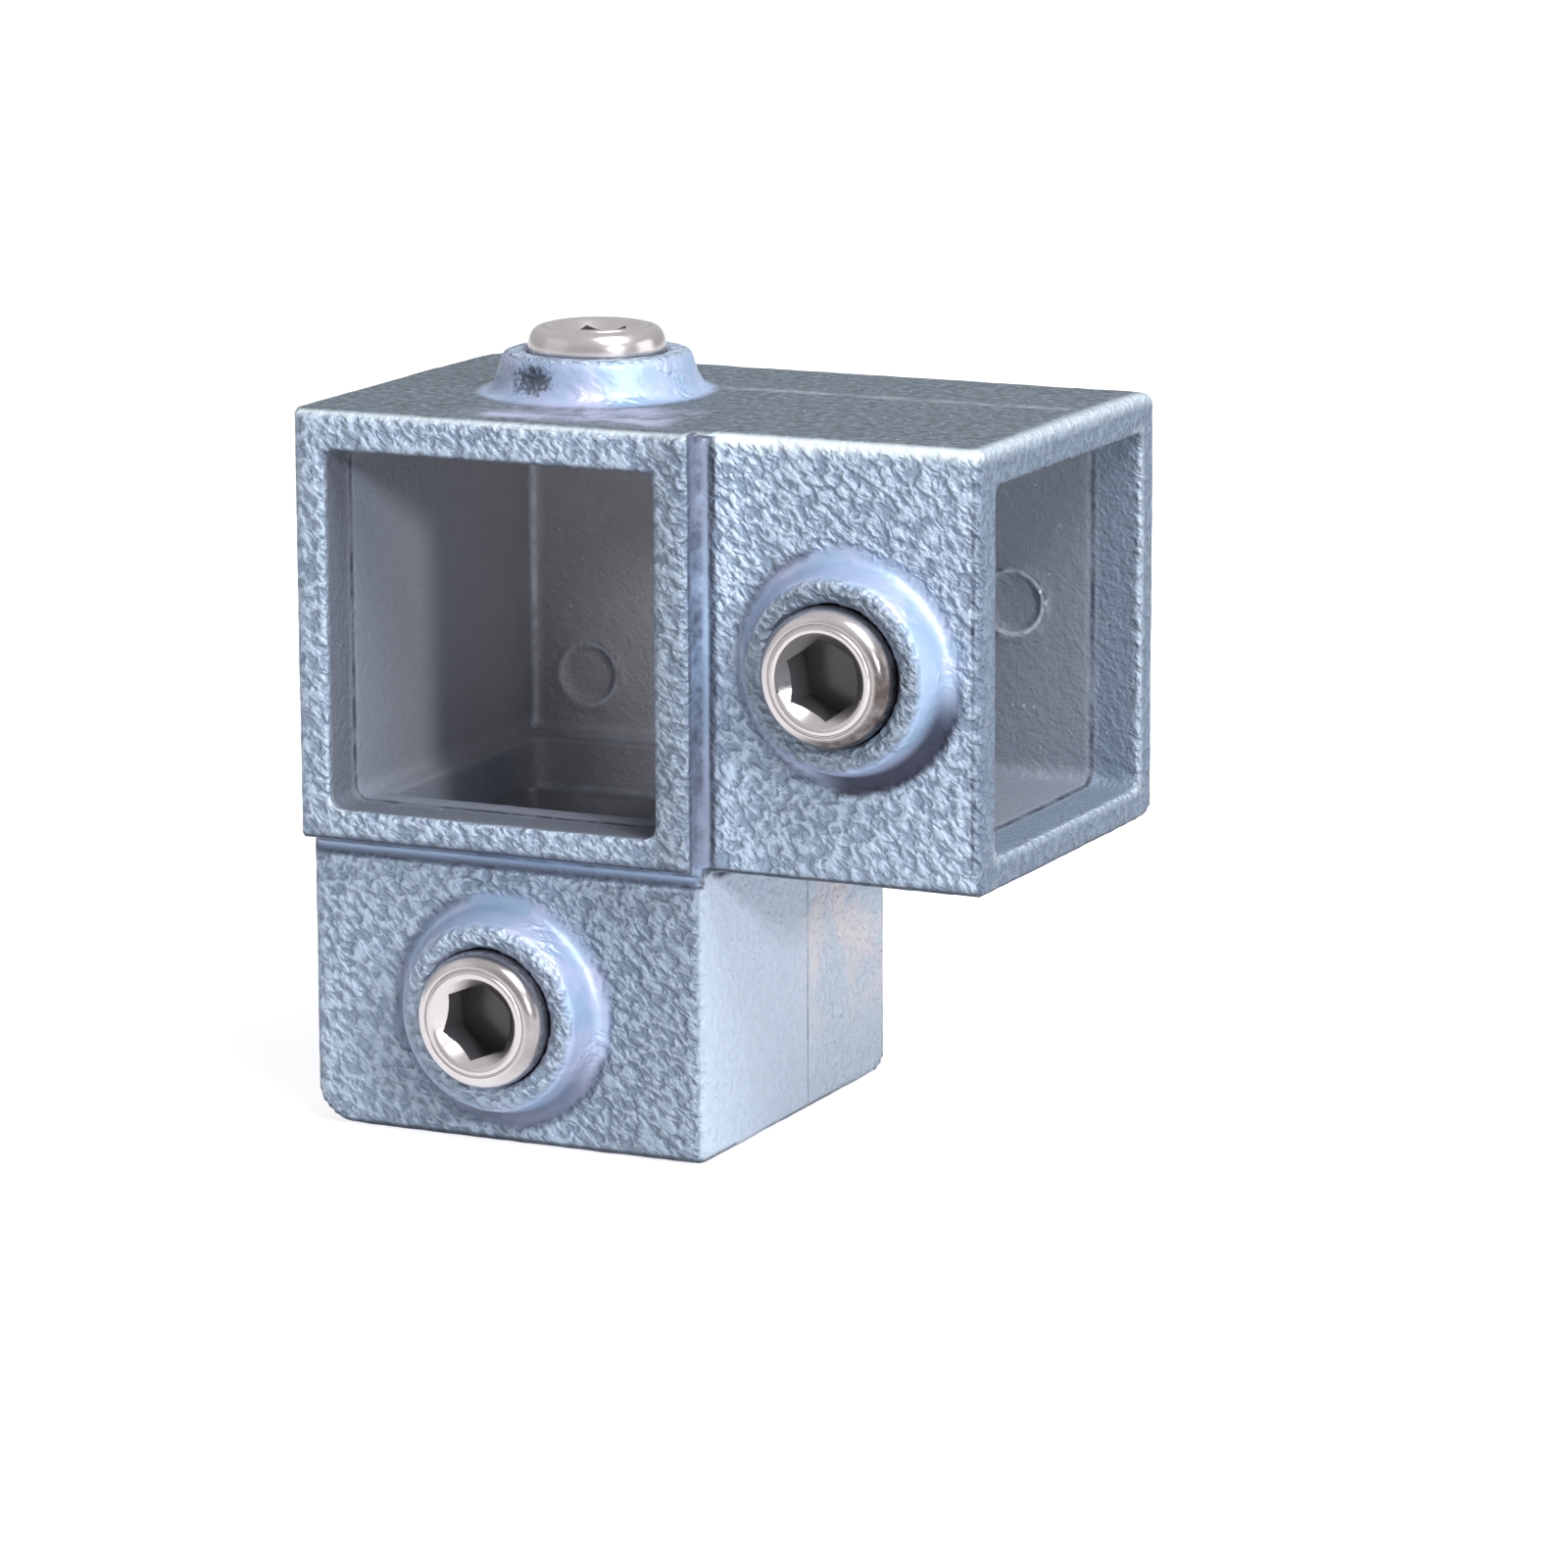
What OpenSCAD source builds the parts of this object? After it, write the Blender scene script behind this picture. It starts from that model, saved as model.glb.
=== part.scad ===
// Square tube corner connector: one hollow casting with three square sockets at right angles,
// and a set screw in a boss on each socket that clamps the tube in it.
// Frame, in millimetres: +X along the right socket, +Y away from the front mouth, +Z up.
// The origin is the middle of the lower socket's mouth, on the plane that the part stands on.

/* [Tube] */
// Outside width of the square tube
tube_size = 40; // [30:1:50]
// Gap between the tube and each wall of its socket
tube_gap = 0.5; // [0.2:0.1:1]

/* [Casting] */
// Thickness of the walls around each socket
wall = 4.9; // [3.5:0.1:7]
// Thickness of the wall that closes the back of the front socket
back_wall = 3.4; // [3:0.1:7]
// How far the right and the lower arm stand out from the corner block
arm_reach = 34; // [30:1:60]
// How far the front mouth stands proud of the front faces of the arms
rim_proud = 3; // [2:0.1:8]
// How far the two level sockets sit below the middle of their walls
core_drop = 0.4; // [0:0.1:1]
// Draft of the faces each way from the parting plane, in degrees
draft = 0.6; // [0:0.1:1]
// Distance of the parting plane behind the middle of the arms
parting_y = 2.5; // [-5:0.5:8]

/* [Edges] */
// Radius of the front edges and of the edges around the mouths
edge_r = 1.4; // [0.6:0.1:2]
// Radius of the edges around the back
back_edge_r = 4; // [1:0.5:6]
// Radius of the upright edge behind the corner block
back_corner_r = 10; // [2:0.5:11]
// Radius of the left edge of the lower mouth
foot_edge_r = 6.4; // [1:0.1:7]
// Radius of the fillet in the corner between the two arms
arm_fillet_r = 1.8; // [0.5:0.1:4]
// Radius of the cove behind the proud front rim
cove_r = 1.6; // [0.5:0.1:2]

/* [Sockets] */
// Radius of the inside corners of the sockets
socket_corner_r = 1.6; // [0.5:0.1:3]
// Depth of the wider lead-in at each mouth
lead_depth = 6; // [2:0.5:10]
// How much wider than the socket the lead-in is on each side
lead_step = 0.3; // [0.1:0.1:0.8]
// How far the tube stops stand in from the socket walls
stop_lip = 2; // [1:0.1:4]
// How far the tube stops reach into the arms from the corner block
stop_reach = 2; // [1:0.5:6]

/* [Core marks] */
// Diameter of the round mark inside the ring that a core pin leaves
mark_d = 7.2; // [4:0.1:10]
// Depth of the round mark
mark_depth = 0.5; // [0.2:0.1:1.2]
// Width of the raised ring around the mark
mark_ring = 0.6; // [0.4:0.1:2]
// Height of the raised ring above the wall
mark_rise = 0.35; // [0.1:0.05:0.4]
// Distance of the front socket's mark from the left wall of the socket
mark_from_side = 7.5; // [6:0.1:12]
// Distance of the front socket's mark from the floor of the socket
mark_from_floor = 7.3; // [6:0.1:12]

/* [Screw bosses] */
// Diameter of a boss where it meets the wall
boss_base_d = 24.6; // [23.6:0.2:27]
// Diameter of a boss at its top, before the edge is rounded
boss_top_d = 21.8; // [20.6:0.2:24]
// Height of a boss above its wall
boss_height = 4.8; // [4:0.1:8]
// Radius of the rounded top edge of a boss
boss_round_r = 1.2; // [0.5:0.1:1.5]
// Radius of the fillet around the foot of a boss
boss_fillet_r = 1.8; // [0.5:0.1:2.3]
// Distance from the front mouth to the axis of its screw
front_screw_inset = 26; // [20:0.5:32]
// Place of the top screw to the right of the front socket's middle
top_screw_right = 1; // [-2:0.1:2]
// Distance from an arm's mouth to the axis of its screw
arm_screw_inset = 16; // [15:0.5:18]

/* [Set screws] */
// Outside diameter of the screw thread
screw_d = 16; // [15:0.1:16.6]
// Gap between the screw and its hole all round
thread_gap = 0.05; // [0.02:0.01:0.1]
// Chamfer at the mouth of a screw hole
hole_chamfer = 0.7; // [0.3:0.1:1]
// Length of a set screw
screw_length = 11.5; // [10:0.1:12]
// How far a set screw stands out of its boss
screw_proud = 2.9; // [1:0.1:4]
// Radius of the rounded shoulder at the outer end
shoulder_r = 1.6; // [0.8:0.1:1.7]
// Width of the groove between the shoulder and the lip around the key socket
groove_width = 0.1; // [0.05:0.05:0.3]
// Depth of that groove
groove_depth = 0.2; // [0.1:0.05:0.4]
// Depth of the countersink around the key socket
countersink_depth = 0.9; // [0.3:0.1:1.5]
// Width across the flats of the key socket
key_flats = 8; // [6:0.5:8.5]
// Depth of the key socket
key_depth = 6; // [4:0.5:7]
// Chamfer at the inner end of a set screw
tip_chamfer = 1.4; // [0.5:0.1:2]
// Turn of the top screw's key socket, in degrees
top_key_turn = 12; // [0:1:60]
// Turn of the right screw's key socket, in degrees
right_key_turn = 36; // [0:1:60]
// Turn of the lower screw's key socket, in degrees
lower_key_turn = 20; // [0:1:60]

/* [Hidden] */
$fn = 64;
// Steps in a rounded corner of an outline
arc_steps = 8;
// Overlap that keeps cuts and joins clean
lap = 1;

bore = tube_size + 2 * tube_gap;
outer = bore + 2 * wall;
half = outer / 2;
front_y = -half - rim_proud;
right_x = half + arm_reach;
top_z = arm_reach + outer;
axis_z = arm_reach + half;
socket_z = axis_z - core_drop;
front_axis_y = front_y + front_screw_inset;
right_axis_x = right_x - arm_screw_inset;
lower_axis_z = arm_screw_inset;
throat = bore - 2 * stop_lip;
// The cove ends where the rounding of the rim's edge begins
cove = min(cove_r, rim_proud - edge_r);
across = 4 * (outer + arm_reach + rim_proud);
key_r = key_flats / sqrt(3);
countersink_r = key_r + countersink_depth;
countersink_foot_r = key_flats / 2 - lap / 2;

// How far a drafted face has drawn in at a distance from the parting plane
function drawn_in(y) = tan(draft) * abs(y - parting_y);

function unit(v) = v / norm(v);

// Points of one rounded corner of an outline
function rounded_corner(before, corner, after, r) =
    let (
        u = unit(before - corner),
        v = unit(after - corner),
        half_angle = acos(u * v) / 2,
        centre = corner + unit(u + v) * r / sin(half_angle),
        start = corner + u * r / tan(half_angle) - centre,
        end = corner + v * r / tan(half_angle) - centre,
        first = atan2(start.y, start.x),
        turn = (atan2(end.y, end.x) - first + 540) % 360 - 180
    )
    [
        for (step = [0 : arc_steps])
            let (angle = first + turn * step / arc_steps)
            centre + r * [cos(angle), sin(angle)]
    ];

// Points of an outline, each corner rounded by its own radius, where 0 leaves it sharp
function rounded(points, radii) =
    let (n = len(points))
    [
        for (i = [0 : n - 1])
            let (corner = rounded_corner(points[(i + n - 1) % n], points[i], points[(i + 1) % n], radii[i]))
            each radii[i] > 0 ? corner : [points[i]]
    ];

// Outline across two opposite drafted faces, from a front to a back line.
// low and high are the places of the faces at the parting plane.
function drafted(front, back, low, high, front_radii, back_radii) =
    rounded(
        [
            [front, low + drawn_in(front)],
            [parting_y, low],
            [back, low + drawn_in(back)],
            [back, high - drawn_in(back)],
            [parting_y, high],
            [front, high - drawn_in(front)]
        ],
        [front_radii[0], 0, back_radii[0], back_radii[1], 0, front_radii[1]]
    );

function turned_over(points) = [for (p = points) [p.y, p.x]];

function box_outline(low, high, radii) =
    rounded([low, [high.x, low.y], high, [low.x, high.y]], radii);

// The common part of three outlines: seen from the front, from above and from the right
module from_outlines(front, above, right) {
    intersection() {
        rotate([90, 0, 0])
            linear_extrude(across, center = true)
                polygon(front);
        linear_extrude(across, center = true)
            polygon(above);
        rotate([90, 0, 90])
            linear_extrude(across, center = true)
                polygon(right);
    }
}

module corner_block() {
    from_outlines(
        box_outline([-half, arm_reach], [half, top_z], [edge_r, edge_r, edge_r, edge_r]),
        turned_over(drafted(front_y, half, -half, half, [edge_r, edge_r], [back_corner_r, edge_r])),
        drafted(front_y, half, arm_reach, top_z, [edge_r, edge_r], [edge_r, back_edge_r])
    );
}

module right_arm() {
    from_outlines(
        box_outline([0, arm_reach], [right_x, top_z], [0, edge_r, edge_r, 0]),
        box_outline([0, -half], [right_x, half], [0, edge_r, edge_r, 0]),
        drafted(-half, half, arm_reach, top_z, [edge_r, edge_r], [back_edge_r, back_edge_r])
    );
}

module lower_arm() {
    from_outlines(
        box_outline([-half, 0], [half, axis_z], [foot_edge_r, edge_r, 0, 0]),
        turned_over(drafted(-half, half, -half, half, [edge_r, edge_r], [back_corner_r, edge_r])),
        box_outline([-half, 0], [half, axis_z], [edge_r, back_edge_r, 0, 0])
    );
}

// Quarter-round fill for an inside corner at the origin, between the +X and the +Y face
module fillet_profile(r) {
    difference() {
        translate([-lap, -lap])
            square(r + lap);
        translate([r, r])
            circle(r);
        translate([r, -2 * lap])
            square(r + 4 * lap);
        translate([-2 * lap, r])
            square(r + 4 * lap);
    }
}

// Fillet under the right arm, where it meets the lower arm
module arm_fillet() {
    translate([half, 0, arm_reach])
        rotate([90, 0, 0])
            linear_extrude(outer - 2 * back_edge_r, center = true)
                mirror([0, 1])
                    fillet_profile(arm_fillet_r);
}

// Coves that run from the proud front rim down to the faces of the two arms
module rim_coves() {
    translate([half - drawn_in(front_y), -half, arm_reach + edge_r])
        linear_extrude(outer - 2 * edge_r)
            mirror([0, 1])
                fillet_profile(cove);
    translate([-half + edge_r, -half, arm_reach + drawn_in(front_y)])
        rotate([90, 0, 90])
            linear_extrude(outer - edge_r)
                mirror([1, 0])
                    mirror([0, 1])
                        fillet_profile(cove);
}

// A boss that stands on the plane z = 0, with a fillet at its foot and a rounded top edge
module boss() {
    base_r = boss_base_d / 2;
    top_r = boss_top_d / 2;
    foot_r = base_r + boss_fillet_r;
    outline = rounded(
        [
            [0, -lap],
            [foot_r, -lap],
            [foot_r, 0],
            [base_r, 0],
            [top_r, boss_height],
            [0, boss_height]
        ],
        [0, 0, 0, boss_fillet_r, boss_round_r, 0]
    );
    rotate_extrude()
        polygon(outline);
}

// A screw hole from the top of a boss inwards, with a chamfered mouth
module screw_hole() {
    hole_r = screw_d / 2 + thread_gap;
    translate([0, 0, -wall - core_drop - lap])
        cylinder(r = hole_r, h = boss_height + wall + core_drop + 2 * lap);
    translate([0, 0, boss_height - hole_chamfer])
        cylinder(r1 = hole_r, r2 = hole_r + hole_chamfer + lap, h = hole_chamfer + lap);
}

// The three places of the screws: a frame on each screw wall with its Z axis outwards
module at_top_screw() {
    translate([top_screw_right, front_axis_y, top_z - drawn_in(front_axis_y - boss_base_d / 2)])
        children();
}

module at_right_screw() {
    translate([right_axis_x, -half, socket_z])
        rotate([90, 0, 0])
            children();
}

module at_lower_screw() {
    translate([0, -half, lower_axis_z])
        rotate([90, 0, 0])
            children();
}

// A socket cavity that runs along +Z from its mouth at the origin, with its wider lead-in
module socket(depth) {
    low = -bore / 2;
    high = bore / 2;
    corners = [for (i = [0 : 3]) socket_corner_r];
    translate([0, 0, -lap])
        linear_extrude(depth + lap)
            polygon(box_outline([low, low], [high, high], corners));
    translate([0, 0, -lap])
        linear_extrude(lead_depth + lap)
            polygon(box_outline(
                [low - lead_step, low - lead_step], [high + lead_step, high + lead_step], corners));
}

// A throat through a tube stop, along +Z from the middle of the front socket
module throat_cut(depth) {
    low = -throat / 2;
    corners = [for (i = [0 : 3]) socket_corner_r];
    linear_extrude(depth)
        polygon(box_outline([low, low], [-low, -low], corners));
}

module sockets() {
    translate([0, front_y, socket_z])
        rotate([-90, 0, 0])
            socket(half - back_wall - front_y);
    translate([right_x, 0, socket_z])
        rotate([0, -90, 0])
            socket(arm_reach - stop_reach);
    socket(arm_reach - stop_reach);
    translate([0, 0, socket_z])
        rotate([0, 90, 0])
            throat_cut(half + stop_reach + lap);
    translate([0, 0, arm_reach - stop_reach - lap])
        throat_cut(socket_z - arm_reach + stop_reach + lap);
}

// A ring on the wall at z = 0 and the shallow round mark inside it
module mark_ring_solid() {
    translate([0, 0, -lap])
        cylinder(d = mark_d + 2 * mark_ring, h = lap + mark_rise);
}

module mark_hollow() {
    translate([0, 0, -mark_depth])
        cylinder(d = mark_d, h = mark_depth + mark_rise + lap);
}

// The marks: one on the back wall of the front socket, one behind the right socket's screw
module at_marks() {
    translate([mark_from_side - bore / 2, half - back_wall, socket_z - bore / 2 + mark_from_floor])
        rotate([90, 0, 0])
            children();
    translate([right_axis_x, bore / 2, socket_z])
        rotate([90, 0, 0])
            children();
}

module corner_casting() {
    color("lightsteelblue")
        difference() {
            union() {
                difference() {
                    union() {
                        corner_block();
                        right_arm();
                        lower_arm();
                        arm_fillet();
                        rim_coves();
                        at_top_screw() boss();
                        at_right_screw() boss();
                        at_lower_screw() boss();
                    }
                    sockets();
                }
                at_marks() mark_ring_solid();
            }
            at_marks() mark_hollow();
            at_top_screw() screw_hole();
            at_right_screw() screw_hole();
            at_lower_screw() screw_hole();
        }
}

// A set screw in the frame of its screw wall, with a key socket turned by an angle
module set_screw(key_turn) {
    end_z = boss_height + screw_proud;
    tip_z = end_z - screw_length;
    screw_r = screw_d / 2;
    lip_r = screw_r - shoulder_r - groove_width;
    outline = rounded(
        [
            [0, tip_z],
            [screw_r - tip_chamfer, tip_z],
            [screw_r, tip_z + tip_chamfer],
            [screw_r, end_z - groove_depth],
            [lip_r, end_z - groove_depth],
            [lip_r, end_z],
            [0, end_z]
        ],
        [0, 0, 0, shoulder_r, 0, 0, 0]
    );
    color("gainsboro")
        difference() {
            rotate_extrude()
                polygon(outline);
            translate([0, 0, end_z - countersink_r + countersink_foot_r])
                cylinder(
                    r1 = countersink_foot_r,
                    r2 = countersink_r + lap,
                    h = countersink_r - countersink_foot_r + lap
                );
            translate([0, 0, end_z - key_depth])
                rotate([0, 0, key_turn])
                    cylinder(r = key_r, h = key_depth + lap, $fn = 6);
        }
}

module top_set_screw() {
    at_top_screw() set_screw(top_key_turn);
}

module right_set_screw() {
    at_right_screw() set_screw(right_key_turn);
}

module lower_set_screw() {
    at_lower_screw() set_screw(lower_key_turn);
}

corner_casting();
top_set_screw();
right_set_screw();
lower_set_screw();
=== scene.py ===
import math

import bmesh
import bpy
import numpy as np
from bpy.props import FloatProperty, FloatVectorProperty, IntProperty, PointerProperty
from mathutils import Matrix, Vector, noise


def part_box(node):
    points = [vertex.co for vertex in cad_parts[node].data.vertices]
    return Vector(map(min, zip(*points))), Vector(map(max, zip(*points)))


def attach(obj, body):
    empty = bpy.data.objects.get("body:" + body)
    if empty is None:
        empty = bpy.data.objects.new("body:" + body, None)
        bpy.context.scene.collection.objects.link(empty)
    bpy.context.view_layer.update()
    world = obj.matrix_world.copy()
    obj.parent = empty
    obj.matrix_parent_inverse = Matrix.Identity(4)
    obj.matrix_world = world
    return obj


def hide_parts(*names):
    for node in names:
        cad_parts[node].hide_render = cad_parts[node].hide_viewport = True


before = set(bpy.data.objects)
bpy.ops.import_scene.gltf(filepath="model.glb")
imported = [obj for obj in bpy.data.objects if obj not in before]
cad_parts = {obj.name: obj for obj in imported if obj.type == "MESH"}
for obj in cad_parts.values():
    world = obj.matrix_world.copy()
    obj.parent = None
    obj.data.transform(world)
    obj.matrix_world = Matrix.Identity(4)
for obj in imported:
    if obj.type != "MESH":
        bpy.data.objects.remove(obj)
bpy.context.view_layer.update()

bl_info = {
    "name": "Square Tube Corner Connector",
    "version": (1, 0, 0),
    "blender": (4, 5, 0),
    "location": "3D View > Sidebar > Tube Corner",
    "description": "Dresses a galvanised corner connector for square tube and its three set screws",
    "category": "Object",
}

MM = 0.001

# The casting's own sizes in millimetres, as its solid has them.
MOUTH_Y = -28.4
MOUTH_X = 59.4
SIDE = 25.4
CROWN = 84.8
ARM = 34.0
SOCKET_Z = 59.0
BACK_WALL = 22.0
BOSS_HEIGHT = 4.8
SCREW_RADIUS = 8.0
SCREW_PROUD = 2.9
# A little more than half the width of a lead-in.
LEAD_REACH = 21.2
# The two round core marks in the back walls: how far across, and how high.
CORE_MARKS = ((-13.0, 45.8), (43.4, 59.0))
# The pit in the flank of the top boss, where it is hollow and where it is dark, and the small fin beside it.
PIT_HOLLOW = (-2.1, -13.7, 87.0)
PIT_DARK = (-1.9, -13.7, 87.0)
FIN = (13.0, 3.0, 85.6)

# A skin of the casting with fewer faces than this has not closed.
FEWEST_FACES = 20000
# Depth of a metric thread as a share of its pitch, and the steps that a turn of it is made in.
THREAD_DEPTH = 0.6134
TURN_STEPS = 48

# Each set screw: its solid, its body, the way it points and how far its keyway is turned.
SCREWS = (
    ("top_set_screw", "top_screw", "up", 12.0),
    ("right_set_screw", "right_screw", "front", 36.0),
    ("lower_set_screw", "lower_screw", "front", 20.0),
)
# The painted shade at the foot of a boss: where around it the shade is darkest in degrees, and how dark.
BOSS_SHADE = {"right_set_screw": (-58, 1.0), "lower_set_screw": (-75, 0.6)}
# The painted dark reflection on a screw's shoulder: where around it the reflection is darkest in degrees, and how
# dark.
SCREW_DARK_REFLECTION = {"top_screw": (0, 0.0), "right_screw": (-40, 1.0), "lower_screw": (15, 0.5)}

# Where each look of the zinc belongs is kept at the casting's points under these names.
FIELDS = (
    "grain", "inner", "deep", "edge", "under", "flank", "cove", "crown", "blush", "rosy", "side", "rim", "hole",
    "shine", "tone", "lead", "shade",
)
# Fine lines on the casting in millimetres: the axis that a line lies across and its place there, half its width,
# how much of it shows at most, and its bounds on the other axes. The dark ones on both sides of the cove beside the
# front mouth and of the cove below it and at the edges of two lead-ins are painted shade in those creases and steps;
# the others lie on the rim of the right arm and along the parting seam.
DARK_LINES = (
    (0, 26.95, 0.24, 1.0, {1: (-60, -24.9), 2: (ARM - 1, CROWN - 0.8)}),
    (0, 25.3, 0.4, 1.0, {1: (-27.6, -24.9), 2: (ARM - 1, CROWN - 0.8)}),
    (2, 32.5, 0.18, 1.0, {1: (-60, -24.9), 0: (-SIDE - 1, SIDE + 1)}),
    (2, 34.0, 0.15, 1.0, {1: (-27.8, -24.9), 0: (-SIDE - 1, SIDE + 1)}),
    (0, 53.35, 0.22, 1.0, {1: (-LEAD_REACH, LEAD_REACH), 2: (SOCKET_Z - LEAD_REACH, SOCKET_Z + LEAD_REACH)}),
    (0, 58.4, 0.2, 1.0, {1: (-60, -24.4), 2: (ARM + 3, CROWN - 4)}),
    (1, 2.4, 0.12, 1.0, {0: (24.3, 27), 2: (0.8, ARM - 2)}),
    (1, -22.3, 0.2, 1.0, {0: (-LEAD_REACH, LEAD_REACH), 2: (SOCKET_Z - LEAD_REACH, SOCKET_Z + LEAD_REACH)}),
)
# The bright ones, which run up the inner corner, over the lower opening and on the stop, and faintly along the top,
# are painted highlights on those edges and on the parting seam.
HIGHLIGHT_LINES = (
    (0, -20.15, 0.25, 1.0, {1: (20.6, 23), 2: (32, 78)}),
    (2, 38.1, 0.3, 1.0, {1: (19.5, 23), 0: (-20.4, 21)}),
    (2, 32.2, 0.5, 1.0, {1: (18.5, 23), 0: (-20.4, 21)}),
    (1, 4.7, 0.9, 0.28, {2: (CROWN - 1.2, CROWN + 1), 0: (14, 57)}),
)


def linear(hex_colour):
    """An sRGB hex colour as linear red, green and blue."""
    parts = [int(hex_colour[i:i + 2], 16) / 255 for i in (1, 3, 5)]
    return tuple(c / 12.92 if c <= 0.04045 else ((c + 0.055) / 1.055) ** 2.4 for c in parts)


def colour(name, text, hex_colour):
    """A colour that a user may change."""
    return FloatVectorProperty(
        name=name, description=text, subtype="COLOR", size=3, min=0, max=1, default=linear(hex_colour)
    )


def length(name, text, millimetres):
    """A length that a user may change, held in metres."""
    return FloatProperty(
        name=name, description=text, subtype="DISTANCE", unit="LENGTH", min=0, precision=5,
        default=millimetres * MM,
    )


class CastingSettings(bpy.types.PropertyGroup):
    """Sizes and colours of the galvanised casting."""

    mesh_step: length("Mesh Step", "Distance between points of the casting's skin", 0.72)
    swell_depth: length("Swell Depth", "How far the cast walls wander in and out", 0.09)
    lump_depth: length("Lump Depth", "How deep the small lumps of zinc are", 0.12)
    hole_room: length("Hole Room", "Room between a set screw and the thread's edge in its hole", 0.07)
    crinkle_width: length("Crinkle Width", "Distance from ridge to ridge of the crinkled zinc", 1.0)
    crinkle_depth: length("Crinkle Depth", "Height of the ridges of the crinkled zinc", 0.65)
    crest: colour("Crest", "Zinc on the ridges", "#adbdd1")
    # The zinc between the ridges is darker, partly as painted shade in the crevices.
    valley: colour("Valley", "Zinc between the ridges", "#7c8da3")
    # Also the colour of the painted highlight in the coves.
    smooth: colour("Smooth", "Zinc on the smooth flanks of the bosses", "#93aac8")
    lilac: colour("Lilac", "Tint of the thick zinc at the foot of a boss", "#d4c8e2")
    # The sockets are darker inside, partly as painted shade.
    socket: colour("Socket", "Dull zinc inside the sockets", "#828894")
    blush: colour("Blush", "Warm tint on the side of the lower arm", "#d6c8c6")
    # Painted highlight on the edges that face up, on fine bright lines and on the rims of the core marks; also the
    # colour of the bright specks of zinc.
    edge: colour("Edge", "Bright zinc along the edges", "#dfebf4")
    # Painted shade under the edges, at the foot of the bosses, on the lead-ins, at the feet of the coves and in most
    # of the fine dark lines; the same dark also draws the parting seam and the dark specks of dross.
    painted_shade_and_marks: colour("Stain", "Dark zinc under the edges and at the foot of the bosses", "#212338")
    cove: colour("Cove", "Zinc in the hollows behind the front mouth", "#7f89a0")
    lead: colour("Lead-in", "Bluish zinc on the lead-in of the right socket", "#788ca3")
    deep: colour("Deep", "Brownish zinc deep in the front socket", "#bcb8be")
    # Painted shade in the gap around each screw; also the dark of the pit in the top boss.
    hole: colour("Hole", "Dark zinc in the screw holes and the pit", "#3c4148")
    # The side of the lower arm is painted paler, partly as painted light where the lamps on the right fall on it.
    side: colour("Side", "Pale zinc on the side of the lower arm", "#b5c1d1")
    rosy: colour("Rosy", "Rosy zinc in front of the foot of the top boss", "#c3c3e2")
    rim: colour("Rim", "Dull zinc on the rim of the right mouth", "#4e5e72")
    # The top is painted darker, a painted dark reflection of the room that it mirrors; the grey blotches on it are the
    # zinc's own.
    crown: colour("Crown", "Grey zinc on top", "#343f44")


class ScrewSettings(bpy.types.PropertyGroup):
    """Sizes and colours of the set screws."""

    diameter: length("Diameter", "Thread diameter", 16)
    long: length("Length", "Length from tip to end", 11.5)
    pitch: length("Pitch", "Rise of the thread in one turn", 2)
    plain: length("Plain End", "Length of the end that has no thread", 4.2)
    shoulder: length("Shoulder", "Height of the rounded shoulder", 2.5)
    lip: length("Lip", "Outer radius of the lip around the keyway", 6.3)
    step: length("Step", "Height of the lip above the shoulder", 0.2)
    countersink: length("Countersink", "Radius of the keyway's countersink", 5.4)
    key_flats: length("Key Flats", "Width of the keyway across its flats", 8)
    key_depth: length("Key Depth", "Depth of the keyway", 6)
    sides: IntProperty(name="Sides", description="Steps around the screw", default=96, min=24, max=192)
    steel: colour("Steel", "Polished stainless steel", "#c0bbbd")
    # Painted shade in the keyway, where the steel is also duller.
    keyway_shade: colour("Soiled", "Dull steel in the keyway", "#4d4b4f")
    # A painted dark reflection on one side of each shoulder and low on its side.
    dark_reflection: colour("Film", "Brown film of oil on one side of the shoulder", "#453c3a")


class StageSettings(bpy.types.PropertyGroup):
    """Floor, light and camera."""

    floor: colour("Floor", "Pale studio floor", "#d2d2d2")
    ambient: FloatProperty(name="Ambient", description="Strength of the room's light", default=0.3, min=0, max=2)
    glow: FloatProperty(name="Glow", description="Brightness of the floor as it is seen", default=0.78, min=0, max=2)
    mirrored: FloatProperty(name="Mirrored", description="Strength of the room at eye level as metal mirrors it",
                            default=0.65, min=0, max=2)
    overhead: FloatProperty(name="Overhead", description="Strength of the room overhead as metal mirrors it",
                            default=0.9, min=0, max=2)
    key: FloatProperty(name="Key", description="Power of the lamp on the right", default=5.0, min=0, unit="POWER")
    sky: FloatProperty(name="Sky", description="Power of the broad lamp above on the right", default=15.0, min=0,
                       unit="POWER")
    side: FloatProperty(name="Side", description="Power of the low lamp behind on the right", default=2.0, min=0,
                        unit="POWER")
    fill: FloatProperty(name="Fill", description="Power of the lamp on the left", default=0.8, min=0, unit="POWER")
    yaw: FloatProperty(name="Yaw", description="Turn of the camera to the right", subtype="ANGLE",
                       default=math.radians(25.375))
    pitch: FloatProperty(name="Pitch", description="How far the camera looks down", subtype="ANGLE",
                         default=math.radians(11.822))
    roll: FloatProperty(name="Roll", description="Tilt of the camera", subtype="ANGLE",
                        default=math.radians(-0.221))
    distance: length("Distance", "From the camera to the part", 751.5)
    lens: FloatProperty(name="Lens", description="Focal length in millimetres on a 36 mm sensor", default=149.2,
                        min=10, max=500)


def add_node(tree, kind, inputs=None, **settings):
    """Adds a node with its settings, and links or sets each of its inputs."""
    node = tree.nodes.new(kind)
    for name, value in settings.items():
        setattr(node, name, value)
    for name, value in (inputs or {}).items():
        if isinstance(value, bpy.types.NodeSocket):
            tree.links.new(value, node.inputs[name])
        else:
            node.inputs[name].default_value = value
    return node


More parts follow.
